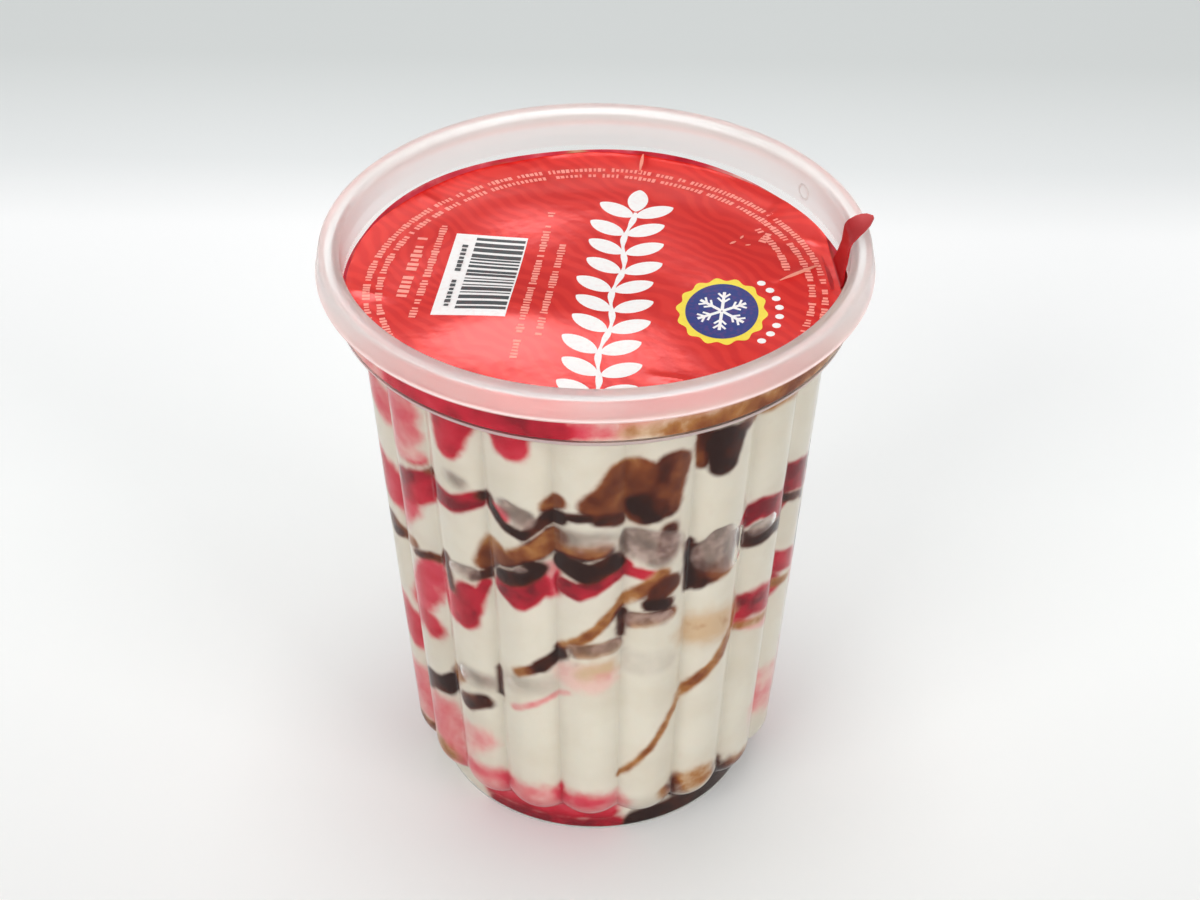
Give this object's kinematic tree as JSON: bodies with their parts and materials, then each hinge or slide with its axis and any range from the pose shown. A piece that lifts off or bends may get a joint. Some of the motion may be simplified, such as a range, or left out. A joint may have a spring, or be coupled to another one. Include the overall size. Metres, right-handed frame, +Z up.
{
  "type": "ice cream cup",
  "caption": "Filled clear fluted plastic ice cream cup with a foot, a rolled rim and a recessed foil lid with a pull tab.",
  "frame": {"origin": "middle of the base, on the plane that the cup stands on", "axes": "+Z up along the cup's axis; the crown of a flute faces each of +X, -X, +Y and -Y; the lid's tab points 6 degrees from +X towards +Y"},
  "size_m": [0.0702, 0.0702, 0.0847],
  "materials": {
    "cup_plastic": "clear, glossy",
    "ice_cream": "cream with strawberry and chocolate ripple",
    "lid_foil": "printed and lacquered foil"
  },
  "bodies": {
    "root": {"cup": "cup_plastic", "ice_cream": "ice_cream", "lid": "lid_foil"}
  },
  "joints": []
}
